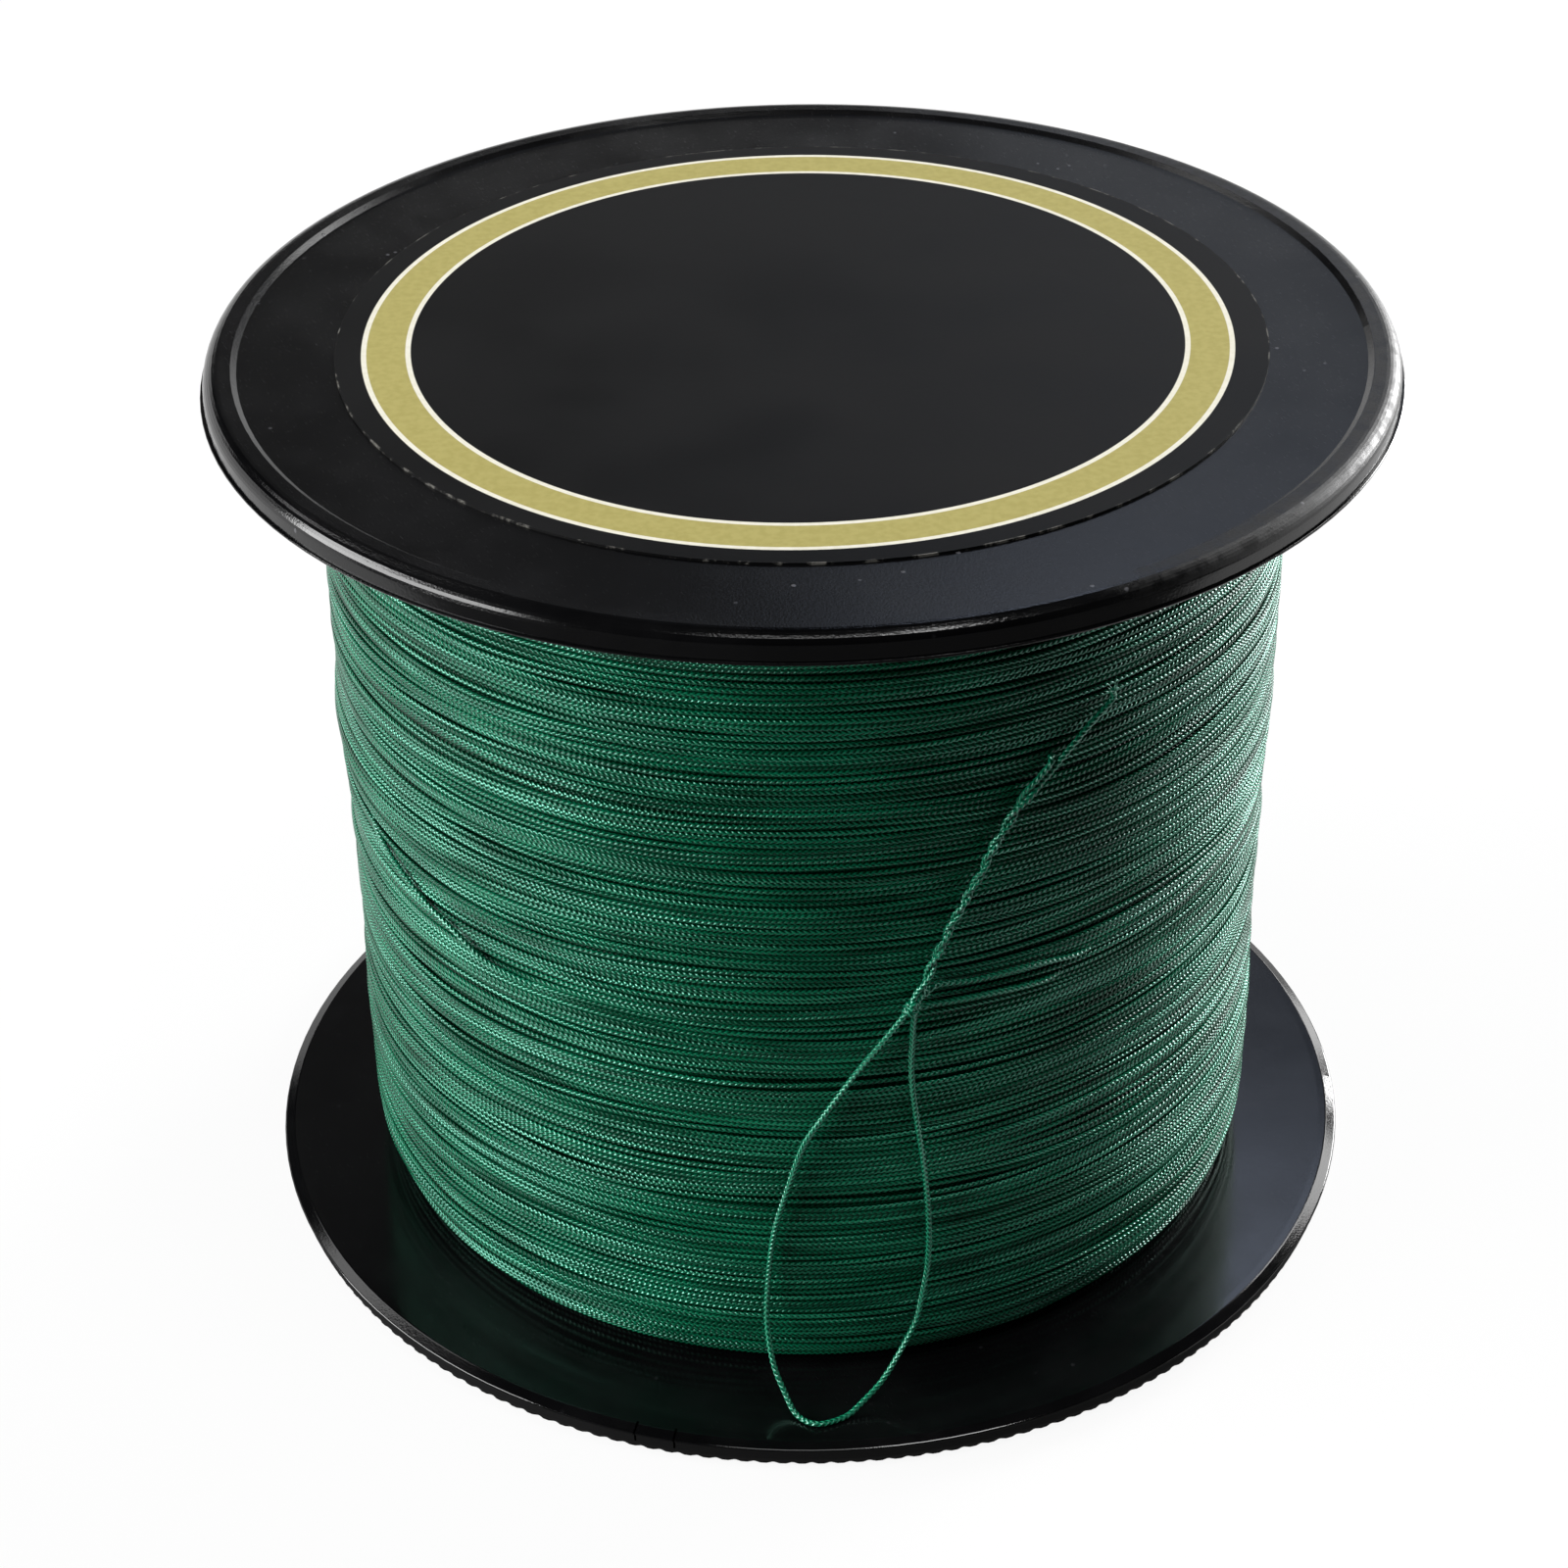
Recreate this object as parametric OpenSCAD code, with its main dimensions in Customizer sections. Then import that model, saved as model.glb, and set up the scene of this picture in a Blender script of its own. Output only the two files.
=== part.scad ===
// Bulk spool of braided fishing line, standing on its lower flange, in millimetres.
// The origin is at the centre of the lower rim's outer face. +Z runs up the bore and
// -Y is the front. Angles in the line's route run from the front towards +X.

/* [Spool] */
// Diameter of both flanges, over the lip round their rims
flange_d = 105; // [95:0.5:135]
// Height over both rims
spool_h = 86; // [60:1:130]
// Thickness of a flange at its rim
rim_t = 2.8; // [2.4:0.1:4]
// Width of the raised band round a flange's outer face
rim_band = 2.8; // [1.5:0.1:4]
// How far the outer face lies below that band
face_drop = 0.35; // [0.2:0.05:0.8]

/* [Barrel and arbor] */
// Outer diameter of the barrel that the line is wound on
barrel_d = 60; // [50:1:75]
// Wall of the barrel
barrel_wall = 2; // [1.5:0.1:3]
// Bore of the arbor tube, for a spindle
bore_d = 16; // [10:0.5:20]
// Wall of the arbor tube
arbor_wall = 2; // [1.5:0.1:3]
// Radial clearance where one moulding plugs into another
fit = 0.1; // [0.05:0.05:0.2]

/* [Flange hub] */
// How far a flange's collar and hub reach into the barrel
collar_h = 7; // [5:0.5:12]
// Wall of the collar and of the hub round the arbor tube
hub_wall = 2.2; // [1.6:0.1:3]
// Depth of the dished centre under the outer face
dish_depth = 2.6; // [1.5:0.1:3.2]
// Number of ribs across the dish
rib_count = 8; // [4:1:12]
// Thickness of each rib
rib_t = 1.8; // [1:0.1:2.5]
// Number of snap hooks on each collar
hook_count = 4; // [3:1:6]
// Width of each snap hook
hook_w = 6; // [4:0.5:9]
// How far each hook stands into its window
hook_reach = 1; // [0.6:0.1:1.6]

/* [Lower rim] */
// Number of serrations round the shoulder of the lower rim
tooth_count = 190; // [90:2:220]
// Depth of each serration
tooth_depth = 0.3; // [0.2:0.05:0.6]
// Height of the serrated band
tooth_h = 0.5; // [0.3:0.1:1.1]
// Width of each slit beside the tab that parks the line
slit_w = 0.2; // [0.15:0.05:0.6]
// Angle between the two slits
slit_gap = 4; // [3:0.5:8]

/* [Line] */
// Diameter of the braided line
line_d = 0.5; // [0.3:0.05:0.8]
// Diameter over the winding
winding_d = 86.5; // [80:0.5:92]
// How far the winding draws in where it meets a flange
shoulder_drop = 3.5; // [1:0.5:5]
// Height over which it draws in
shoulder_h = 6; // [3:0.5:10]
// Turns of the outer layer
turns = 24; // [12:1:24]

/* [Label] */
// Diameter of the label
label_d = 81.5; // [70:0.5:95]
// Thickness of the label
label_t = 0.2; // [0.1:0.05:0.3]
// Outer diameter of its gold ring
gold_outer_d = 76; // [60:0.5:90]
// Inner diameter of its gold ring
gold_inner_d = 67.5; // [50:0.5:85]

/* [Hidden] */
$fn = 96;
eps = 0.05;

plastic = [0.07, 0.07, 0.08];
green = [0.06, 0.42, 0.28];
gold = [0.74, 0.69, 0.40];

// Rim, measured from a flange's outer face inwards: a rounded shoulder, a drafted wall,
// a lip, and a bevel that leads from the lip to the inner face
flange_r = flange_d / 2;
lip_out = 0.25;
lip_round = 0.1;
edge_r = 0.2;
ease_r = 0.6;
bevel_w = 1.1;
bevel_turn = 20;
bevel_from = flange_r - bevel_w + ease_r * sin(bevel_turn);
bevel_to = flange_r - edge_r * (1 - sin(bevel_turn));
lip_z = rim_t - ease_r * (1 - cos(bevel_turn)) - (bevel_to - bevel_from) * tan(bevel_turn)
    - edge_r * cos(bevel_turn);
wall_r = flange_r - lip_out;
draft = 0.06;
band_flat = 0.3;
shoulder_r = min(0.5 * rim_t, rim_band - lip_out - draft - band_flat);
band_slope = 0.5;
face_r = flange_r - rim_band - band_slope;

// Hub, collar and dish
barrel_r = barrel_d / 2;
collar_r = barrel_r - barrel_wall - fit;
collar_in = collar_r - hub_wall;
arbor_r = bore_d / 2 + arbor_wall;
hub_in = arbor_r + fit;
hub_r = hub_in + hub_wall;
stop_t = 1.2;
stop_r = bore_d / 2 + 0.6;
hub_top = rim_t + collar_h;
dish_z = face_drop + dish_depth;
floor_t = 1.8;
lead_in = 0.6;
rib_drop = 0.4;

// Snap hooks and the windows that they catch in
hook_z = hub_top - 2.8;
hook_tall = 1.6;
hook_slot = 0.8;
window_gap = 0.4;
hook_turn = 360 / hook_count;

// Serrations and slits of the lower rim
tooth_z = 0.35;
tooth_tip = wall_r - draft - 0.2;
tooth_root = tooth_tip - tooth_depth;
tooth_chamfer = tooth_depth / 3;
tooth_seat_r = tooth_root - 1;
slit_angle = -15.5;
slit_deep = 1.2;
slit_from = tooth_z + tooth_h + 0.4;

// Space between the flanges, and the start of the line on the barrel
low_z = rim_t;
high_z = spool_h - rim_t;
tape_gap = 0.06;
tape_t = 0.14;
tape_arc = 60;
tape_w = 12;

// Winding
line_r = line_d / 2;
loop_rings = 24;
tube_sides = 6;
turn_r = winding_d / 2 - line_r;
chord_drop = turn_r * (1 - cos(180 / loop_rings));
core_gap = chord_drop + 0.05;
core_in = barrel_r + tape_gap + tape_t + eps;

// Distance by which the winding draws in at height z
function drawn_in(z) =
    let (to_flange = min(z - low_z, high_z - z), t = max(0, 1 - to_flange / shoulder_h))
    shoulder_drop * (1 - sqrt(1 - t * t));

// A point at an angle from the front, a radius and a height
function at(angle, r, z) = [r * sin(angle), -r * cos(angle), z];

// Points of an arc in the plane of a profile
function arc(cx, cz, r, from, to, steps = 5) =
    [for (i = [0:steps]) let (a = from + (to - from) * i / steps) [cx + r * cos(a), cz + r * sin(a)]];

// ---- tubes swept along a list of points ----

function unit(v) = v / norm(v);
function heading(p, i) = unit(p[min(i + 1, len(p) - 1)] - p[max(i - 1, 0)]);
function square_to(v, t) = unit(v - (v * t) * t);
function sides_of(p, first) =
    [for (i = 0, u = square_to(first, heading(p, 0)); i < len(p);
        i = i + 1, u = i < len(p) ? square_to(u, heading(p, i)) : u) u];

module swept_tube(p, r, sides, first) {
    u = sides_of(p, first);
    n = len(p);
    rings = [for (i = [0:n - 1], k = [0:sides - 1])
        let (w = cross(heading(p, i), u[i]), a = 360 * k / sides)
        p[i] + r * (cos(a) * u[i] + sin(a) * w)];
    walls = [for (i = [0:n - 2], k = [0:sides - 1], half = [0, 1])
        let (a = i * sides + k, b = i * sides + (k + 1) % sides)
        half == 0 ? [a, a + sides, b] : [b, a + sides, b + sides]];
    start_cap = [for (k = [1:sides - 2]) [0, k, k + 1]];
    last = (n - 1) * sides;
    end_cap = [for (k = [1:sides - 2]) [last, last + k + 1, last + k]];
    polyhedron(rings, concat(walls, start_cap, end_cap), convexity = 10);
}

// ---- flanges ----

// Section of a flange from the bore out to the rim, outer face at z = 0
flange_section = concat(
    [[stop_r, face_drop], [stop_r, face_drop + stop_t], [hub_in, face_drop + stop_t],
        [hub_in, hub_top], [hub_r, hub_top], [hub_r, dish_z + floor_t],
        [collar_in, dish_z + floor_t], [collar_in, hub_top],
        [collar_r - lead_in / 2, hub_top], [collar_r, hub_top - lead_in], [collar_r, rim_t]],
    arc(flange_r - bevel_w, rim_t - ease_r, ease_r, 90, 90 - bevel_turn, 3),
    arc(flange_r - edge_r, lip_z, edge_r, 90 - bevel_turn, 0, 4),
    arc(flange_r - lip_round, lip_z, lip_round, -30, -90, 2),
    [[wall_r, lip_z - lip_round]],
    arc(wall_r - draft - shoulder_r, shoulder_r, shoulder_r, 0, -90, 8),
    [[face_r + band_slope, 0], [face_r, face_drop], [collar_in, face_drop], [collar_in, dish_z],
        [hub_r, dish_z], [hub_r, face_drop]]);

module dish_ribs() {
    for (i = [0:rib_count - 1])
        rotate([0, 0, 360 * (i + 0.5) / rib_count])
            translate([hub_r - eps, -rib_t / 2, face_drop + rib_drop])
                cube([collar_in - hub_r + 2 * eps, rib_t, dish_depth - rib_drop + eps]);
}

module snap_hooks() {
    hook_arc = hook_w / collar_r * 180 / PI;
    for (i = [0:hook_count - 1])
        rotate([0, 0, hook_turn * i - hook_arc / 2])
            rotate_extrude(angle = hook_arc)
                polygon([[collar_r - eps, hook_z], [collar_r + hook_reach, hook_z],
                    [collar_r + hook_reach, hook_z + hook_tall / 3],
                    [collar_r - eps, hook_z + hook_tall]]);
}

// Slots on both sides of each hook, which make it a springy tongue
module hook_slots() {
    from_z = dish_z + floor_t + hook_slot;
    for (i = [0:hook_count - 1], side = [-1, 1])
        rotate([0, 0, hook_turn * i])
            translate([collar_in - 1, side * (hook_w / 2 + hook_slot) - hook_slot / 2, from_z])
                cube([hub_wall + 2, hook_slot, hub_top]);
}

module flange_body() {
    difference() {
        union() {
            rotate_extrude() polygon(flange_section);
            dish_ribs();
            snap_hooks();
        }
        hook_slots();
    }
}

// Teeth that stand out of the shoulder, chamfered underneath
module serrations() {
    translate([0, 0, tooth_z])
        intersection() {
            linear_extrude(height = tooth_h)
                difference() {
                    polygon([for (i = [0:2 * tooth_count - 1])
                        let (r = i % 2 == 0 ? tooth_tip : tooth_root, a = 180 * i / tooth_count)
                        [r * cos(a), r * sin(a)]]);
                    circle(r = tooth_seat_r);
                }
            cylinder(r1 = tooth_tip - tooth_chamfer, r2 = tooth_tip, h = tooth_h);
        }
}

module upper_flange() {
    color(plastic)
        translate([0, 0, spool_h]) mirror([0, 0, 1]) flange_body();
}

module lower_flange() {
    color(plastic)
        difference() {
            union() {
                flange_body();
                serrations();
            }
            for (side = [-1, 1])
                rotate([0, 0, slit_angle + side * slit_gap / 2])
                    translate([-slit_w / 2, -flange_r - 1, slit_from])
                        cube([slit_w, slit_deep + 1, rim_t]);
        }
}

// ---- barrel, arbor tube and tape ----

module barrel() {
    window_w = hook_w + 2 * window_gap;
    window_h = hook_tall + 2 * window_gap;
    color([0.13, 0.13, 0.14])
        difference() {
            translate([0, 0, low_z]) cylinder(r = barrel_r, h = high_z - low_z);
            translate([0, 0, low_z - 1]) cylinder(r = barrel_r - barrel_wall, h = high_z - low_z + 2);
            for (i = [0:hook_count - 1], z = [hook_z, spool_h - hook_z - hook_tall])
                rotate([0, 0, hook_turn * i])
                    translate([barrel_r - barrel_wall - 1, -window_w / 2, z - window_gap])
                        cube([barrel_wall + 2, window_w, window_h]);
        }
}

module arbor_tube() {
    seat = face_drop + stop_t;
    color([0.16, 0.16, 0.17])
        translate([0, 0, seat])
            difference() {
                cylinder(r = arbor_r, h = spool_h - 2 * seat);
                translate([0, 0, -1]) cylinder(d = bore_d, h = spool_h - 2 * seat + 2);
            }
}

module start_tape() {
    color([0.85, 0.82, 0.70])
        translate([0, 0, (spool_h - tape_w) / 2])
            rotate_extrude(angle = tape_arc)
                translate([barrel_r + tape_gap, 0]) square([tape_t, tape_w]);
}

// ---- line ----

// Inner layers: a plain body that the outer layer lies on
module line_core() {
    steps = 8;
    reach = [for (i = [0:steps]) shoulder_h * (1 - cos(90 * i / steps))];
    low_side = [for (d = reach) [turn_r - line_r - core_gap - drawn_in(low_z + d), low_z + d]];
    high_side = [for (i = [steps:-1:0]) [low_side[i][0], high_z - reach[i]]];
    color(green * 0.6)
        rotate_extrude()
            polygon(concat([[core_in, high_z], [core_in, low_z]], low_side, high_side));
}

// Outer layer: one tube that stands on the lower flange, winds up the drum and ends
// square on the upper flange
wind_start = 180;
bend_r = line_d;
bend_steps = 4;
run_z = line_d + bend_r;
wind_z = high_z - low_z - 2 * run_z;
run_in_r = turn_r - drawn_in(low_z + run_z);
bend_turn = bend_r / run_in_r * 180 / PI;
lead = [for (i = [0:bend_steps])
    let (a = 90 * i / bend_steps) [bend_turn * (1 - cos(a)), line_d + bend_r * sin(a)]];
lead_path = concat([[0, 0]], lead);
wind_steps = turns * loop_rings;
wound = [for (i = [1:wind_steps - 1])
    let (z = low_z + run_z + wind_z * i / wind_steps)
    at(wind_start + bend_turn + 360 * i / loop_rings, turn_r - drawn_in(z), z)];
outer_layer_path = concat(
    [for (s = lead_path) at(wind_start + s[0], run_in_r, low_z + s[1])],
    wound,
    [for (i = [len(lead_path) - 1:-1:0]) let (s = lead_path[i])
        at(wind_start + 2 * bend_turn + 360 * turns - s[0], run_in_r, high_z - s[1])]);

// Least distance between turns, less one line diameter
outer_layer_gap = min([for (i = [0:len(outer_layer_path) - 1],
        j = [i + loop_rings / 2:min(i + 3 * loop_rings / 2, len(outer_layer_path) - 1)])
    norm(outer_layer_path[j] - outer_layer_path[i])]) - line_d;
echo("least gap of line_outer_layer to itself, mm", outer_layer_gap);

module line_outer_layer() {
    color(green)
        swept_tube(outer_layer_path, line_r, tube_sides, at(wind_start, 1, 0));
}

// Free end. Each point is [angle from the front, radius, height].
// The live strand rises from the winding and runs down to the knot.
live_strand = [[27.8, 42.35, 66.1], [27.8, 42.95, 66.1], [27.5, 43.55, 65.8],
    [26.8, 43.65, 65.2], [23.9, 43.65, 63.1], [20.8, 43.65, 59.8], [18.9, 43.65, 56.8],
    [16.1, 43.65, 52.8], [14.5, 43.65, 50.1], [12.7, 43.75, 46.8], [11.2, 44.05, 44.2]];
// The loop hangs from the knot and rests on the lower flange.
open_loop = [[8.8, 43.75, 41.2], [5, 43.65, 37.1], [1.7, 43.65, 33], [-0.6, 43.65, 29.8],
    [-2.5, 43.65, 24.8], [-4.1, 43.65, 19.8], [-4.9, 43.7, 14.1], [-5, 44.4, 10.1],
    [-4.2, 45.9, 6.8], [-2.9, 47.3, 4.7], [-1.5, 48.8, 3.3], [0.6, 49.8, 3.15],
    [3.5, 49, 3.15], [5.5, 48, 3.9], [7.7, 46.9, 5.1], [9.6, 45.9, 6.8],
    [12, 44.7, 9.5], [12.9, 44.1, 11.5], [13.8, 43.65, 15.2], [13.9, 43.65, 19.7],
    [13.6, 43.65, 23.7], [13.1, 43.65, 27.6], [12.3, 43.65, 32.1], [11.7, 43.65, 36.5],
    [11.7, 43.75, 40.2]];
// The tag lies beside the live strand and goes on a little further.
beside = [0.7, 0, -0.27];
tag_strand = [for (i = [len(live_strand) - 1:-1:3]) live_strand[i] + beside];
tag_tip = [[29.6, 43.65, 66.5], [32.5, 43.65, 68.4], [35.1, 43.75, 70], [34.5, 44.2, 71.2]];
free_points = [for (p = concat(live_strand, open_loop, tag_strand, tag_tip)) at(p[0], p[1], p[2])];

// Smooth curve through the points, with a ring about every ring_step
ring_step = 2.2;
function on_curve(a, b, c, d, t) =
    0.5 * (2 * b + (c - a) * t + (2 * a - 5 * b + 4 * c - d) * t * t
        + (3 * b - a - 3 * c + d) * t * t * t);
function smooth(p) = concat(
    [for (i = [0:len(p) - 2])
        let (n = max(1, round(norm(p[i + 1] - p[i]) / ring_step)))
        for (k = [0:n - 1])
            on_curve(p[max(i - 1, 0)], p[i], p[i + 1], p[min(i + 2, len(p) - 1)], k / n)],
    [p[len(p) - 1]]);
function length_of(p, i = 1) = i >= len(p) ? 0 : norm(p[i] - p[i - 1]) + length_of(p, i + 1);
free_path = smooth(free_points);
echo("rings and length of line_end, mm", len(free_path), length_of(free_path));

module line_end() {
    color(green * 1.2)
        swept_tube(free_path, line_r, 8, [0, 0, 1]);
}

// Knot: wraps of the line drawn tight round both strands
knot_at = [11.5, 44.05, 44.1];
knot_lean = 24;
wrap_r = 0.9 * line_d;
wrap_step = 0.9 * line_d;
wrap_tilt = 14;

module loop_knot() {
    color(green * 1.4)
        rotate([0, 0, knot_at[0]])
            translate([0, -knot_at[1], knot_at[2]])
                rotate([0, knot_lean, 0])
                    for (i = [-1:1])
                        translate([0, 0, i * wrap_step])
                            rotate([i == 0 ? -wrap_tilt : wrap_tilt, 0, 0])
                                rotate_extrude($fn = 32) translate([wrap_r, 0]) circle(r = line_r, $fn = 16);
}

// ---- label ----

module top_label() {
    translate([0, 0, spool_h - face_drop]) {
        color([0.09, 0.09, 0.09])
            difference() {
                cylinder(d = label_d, h = label_t);
                translate([0, 0, label_t / 2]) gold_ring(label_t);
            }
        color(gold) translate([0, 0, label_t / 2]) gold_ring(label_t / 2);
    }
}

module gold_ring(h) {
    difference() {
        cylinder(d = gold_outer_d, h = h);
        translate([0, 0, -1]) cylinder(d = gold_inner_d, h = h + 2);
    }
}

upper_flange();
lower_flange();
barrel();
arbor_tube();
start_tape();
line_core();
line_outer_layer();
line_end();
loop_knot();
top_label();
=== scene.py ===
"""Looks of a bulk spool of braided fishing line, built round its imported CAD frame.

Everything is in metres, in the frame's coordinates: +Z runs up the bore and the front is -Y.
Angles round the spool run from the front towards +X, as in the line's route.
"""

import math

import bpy
import numpy as np
from mathutils import Matrix, Vector


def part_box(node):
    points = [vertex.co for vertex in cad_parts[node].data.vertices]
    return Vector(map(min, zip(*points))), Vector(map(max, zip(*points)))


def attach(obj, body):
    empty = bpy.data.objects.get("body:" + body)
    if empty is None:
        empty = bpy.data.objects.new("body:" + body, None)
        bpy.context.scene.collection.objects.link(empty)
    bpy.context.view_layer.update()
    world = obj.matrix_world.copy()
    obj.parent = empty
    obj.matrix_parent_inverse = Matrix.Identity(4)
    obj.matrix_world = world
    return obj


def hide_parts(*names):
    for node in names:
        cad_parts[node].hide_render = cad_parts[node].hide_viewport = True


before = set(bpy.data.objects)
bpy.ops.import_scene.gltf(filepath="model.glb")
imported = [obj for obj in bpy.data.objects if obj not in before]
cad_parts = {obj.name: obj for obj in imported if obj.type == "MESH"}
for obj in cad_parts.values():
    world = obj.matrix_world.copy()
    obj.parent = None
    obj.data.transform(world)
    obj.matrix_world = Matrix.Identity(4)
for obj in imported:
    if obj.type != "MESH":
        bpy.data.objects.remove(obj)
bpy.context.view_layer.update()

MM = 0.001
BODY = "root"
SEED = 11
UP = np.array([0.0, 0.0, 1.0])

# ---- sizes, from the frame ----

barrel_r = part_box("barrel")[1].x
low_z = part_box("line_core")[0].z
high_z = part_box("line_core")[1].z
spool_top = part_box("upper_flange")[1].z
flange_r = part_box("upper_flange")[1].x
label_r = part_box("top_label")[1].x

# ---- line ----

LINE_R = 0.25 * MM
TIGHT_R = 0.228 * MM  # a wound turn, drawn thinner by its tension
BRAID_PITCH = 1.04 * MM
BRAID_LEAN = 0.11
BRAID_RELIEF = 0.1
LINE_TWIST = 9 * MM  # length over which the loose line twists by a radian
# Where the points of a line's rings lie, in degrees round it from its outer side
ROUND = np.arange(12) * 30.0
ROUND_WOUND = np.arange(-135, 136, 45)  # a wound turn has none underneath
ROUND_FIBRE = np.arange(4) * 90.0

# ---- winding ----

turn_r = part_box("line_outer_layer")[1].x - LINE_R  # centre of the outermost turns
SHOULDER_DROP = 3.5 * MM  # how far the winding draws in at a flange, and over what height
SHOULDER_H = 6 * MM
PROFILE_POINTS = 1500
TURNS, RINGS = 142, 480  # turns of the outer layer, and rings of points to a turn
UNDER_TURNS, UNDER_RINGS = 140, 240
TURNS_PER_PIECE = 28
LEAST_PITCH = 0.47 * MM
PUSHES = 60  # rounds of pushing turns apart
LAYER_DEPTH = 0.38 * MM
STRAY = 0.25 * MM  # how far a turn strays from an even spacing
STRAY_WAVES, STRAY_STEADY = 8, 0.8
DEPTH, MOST_LIFT = 0.10 * MM, 0.16 * MM  # how far a turn strays from an even depth
DEPTH_WAVES, DEPTH_STEADY = 7, 0.9
RIDE = 0.4  # how far a crowded turn rides up or sinks in, as a share of the crowding
LET_IN = 0.4  # how far the whole layer is let in, as a share of MOST_LIFT
DRIFT, DRIFT_RINGS = 0.9, 100  # how the wound line's twist drifts: radians, and over what rings
# How far the surface of the winding stands out of true at each height, in millimetres
SWELL = [(0, -0.1), (9, -0.35), (20, -0.25), (30, -0.5), (37, -0.4), (46, -0.2), (51, -0.1),
         (59, -0.05), (66, -0.15), (86, 0.0)]
BULGE, BULGE_Z, BULGE_H, BULGE_AT = 0.3 * MM, 51 * MM, 4 * MM, -90
BODY_GAP = 0.15 * MM  # between the under turns' layer and the body inside it
BODY_RIDGE, RIDGE_POINTS = 0.12 * MM, 4
BODY_SEGMENTS = 144
BARREL_GAP = 0.25 * MM

# ---- free end: each point is [angle from the front, radius, height], in degrees and mm ----

LIVE_STRAND = [[27.8, 42.35, 66.1], [27.8, 42.95, 66.1], [27.5, 43.55, 65.8],
               [26.8, 43.65, 65.2], [23.9, 43.65, 63.1], [20.8, 43.65, 59.8],
               [18.9, 43.65, 56.8], [16.1, 43.65, 52.8], [14.5, 43.65, 50.1],
               [12.7, 43.75, 46.8], [11.2, 44.05, 44.2]]
OPEN_LOOP = [[8.8, 43.75, 41.2], [5, 43.65, 37.1], [1.7, 43.65, 33], [-0.6, 43.65, 29.8],
             [-2.5, 43.65, 24.8], [-4.1, 43.65, 19.8], [-4.9, 43.7, 14.1], [-5, 44.4, 10.1],
             [-4.2, 45.9, 6.8], [-2.9, 47.3, 4.7], [-1.5, 48.8, 3.3], [0.6, 49.8, 3.15],
             [3.5, 49, 3.15], [5.5, 48, 3.9], [7.7, 46.9, 5.1], [9.6, 45.9, 6.8],
             [12, 44.7, 9.5], [12.9, 44.1, 11.5], [13.8, 43.65, 15.2], [13.9, 43.65, 19.7],
             [13.6, 43.65, 23.7], [13.1, 43.65, 27.6], [12.3, 43.65, 32.1], [11.7, 43.65, 36.5],
             [11.7, 43.75, 40.2]]
BESIDE = [0.7, 0, -0.27]  # from the live strand to the tag beside it
TAG_TIP = [[29.6, 43.65, 66.5], [32.5, 43.65, 68.4], [35.1, 43.75, 70], [34.5, 44.2, 71.2]]
TAG_STRAND = [[p[i] + BESIDE[i] for i in range(3)] for p in LIVE_STRAND[:2:-1]]
FREE_POINTS = LIVE_STRAND + OPEN_LOOP + TAG_STRAND + TAG_TIP
FREE_STEP = 0.11 * MM

# The live strand and the tag, wound round each other between two heights
PAIR_Z, PAIR_TURNS = (45.5 * MM, 64 * MM), 5
PAIR_REACH = 0.8 * LINE_R  # from the pair's middle to a strand's
PAIR_LIFT = 0.1 * MM
PAIR_ENDS = 4  # the strands come together over 1/4 of the height at either end
PAIR_EASE = 0.4  # how much of the winding is slower near the ends
PAIR_THINNING, THINNING_Z = 0.18, 4 * MM

KNOT_AT = [11.5, 44.05, 44.1]
KNOT_LEAN = 24
WRAPS, WRAP_STEP, WRAP_R, WRAP_FROM = 2.8, 0.42 * MM, 0.46 * MM, 2.4
WRAP_LINE_R, WRAP_TWIST = 0.92 * LINE_R, 4 * MM
WRAP_POINTS = 90
# The knot's end, in millimetres from the last wrap: across the strands, along them, outwards
HOOK = [[0, 0, 0], [-0.35, 0.2, 0], [-0.5, -0.15, 0.1], [-0.2, -0.5, 0]]
HOOK_STEP = 0.08 * MM

# Strands that lie across the turns or loose on them: angle, height above the turns, height
STRAYS = [
    [[-66, -0.5, 47.2], [-62, 0.1, 46.9], [-57, 0.35, 46.1], [-50.7, 0.38, 44.6],
     [-45.3, 0.36, 43.6], [-40.5, 0.3, 42.2], [-36, 0, 41.6], [-32, -0.5, 41.3]],
    [[36, -0.5, 44.5], [32, 0.05, 44.7], [26.8, 0.32, 45.4], [19.5, 0.4, 45.5],
     [14.7, 0.5, 45.8], [13.2, 0.45, 45.0], [12.4, 0.1, 44.3]],
    [[31, -0.5, 43.1], [26.9, 0.2, 43.3], [19.6, 0.36, 43.7], [14.3, 0.45, 43.8],
     [12.7, 0.4, 43.6], [11.9, 0.1, 43.7]],
]

FIBRES, FIBRE_RINGS, FIBRE_R = 22, 6, 0.032 * MM
FIBRE_LENGTHS = (0.5, 1.25)  # mm
TUFTS = (-0.35, 0.9)  # how far the fibres of each tuft lean to the side
FIBRE_AHEAD, LEAN_SPREAD, RISE_SPREAD = 0.9, 0.22, 0.25
ROOT_DEPTH, ROOT_SPREAD, CURL_SPREAD = 0.25 * MM, 0.08 * MM, 0.12 * MM
FIBRE_TAPER = 1.15  # radius at the root in FIBRE_R; at the tip it is 1 less

# ---- label ----

RING_OUT, RING_IN, RING_EDGE = 38.1 * MM, 33.8 * MM, 0.46 * MM
RING_SHIFT, RING_STRETCH = -0.33 * MM, 1.016  # the print sits a little off the axis
PRINT_SOFT = 0.04 * MM
LABEL_WORN_R = (label_r - 0.14 * MM, label_r - 0.08 * MM)

# ---- braid's fine looks ----

FILAMENTS, FILAMENT_RUN = 40.0, 3.0  # round the line, and how fast they change in a pitch
TONE_RUN = 0.045  # how fast the tone changes in a pitch
FAINT = 0.1  # gloss that is left along a dull stretch, and in a valley, where it is painted shade

# ---- wear of the flanges: each pair is where a mark begins and where it is at its full ----

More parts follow.
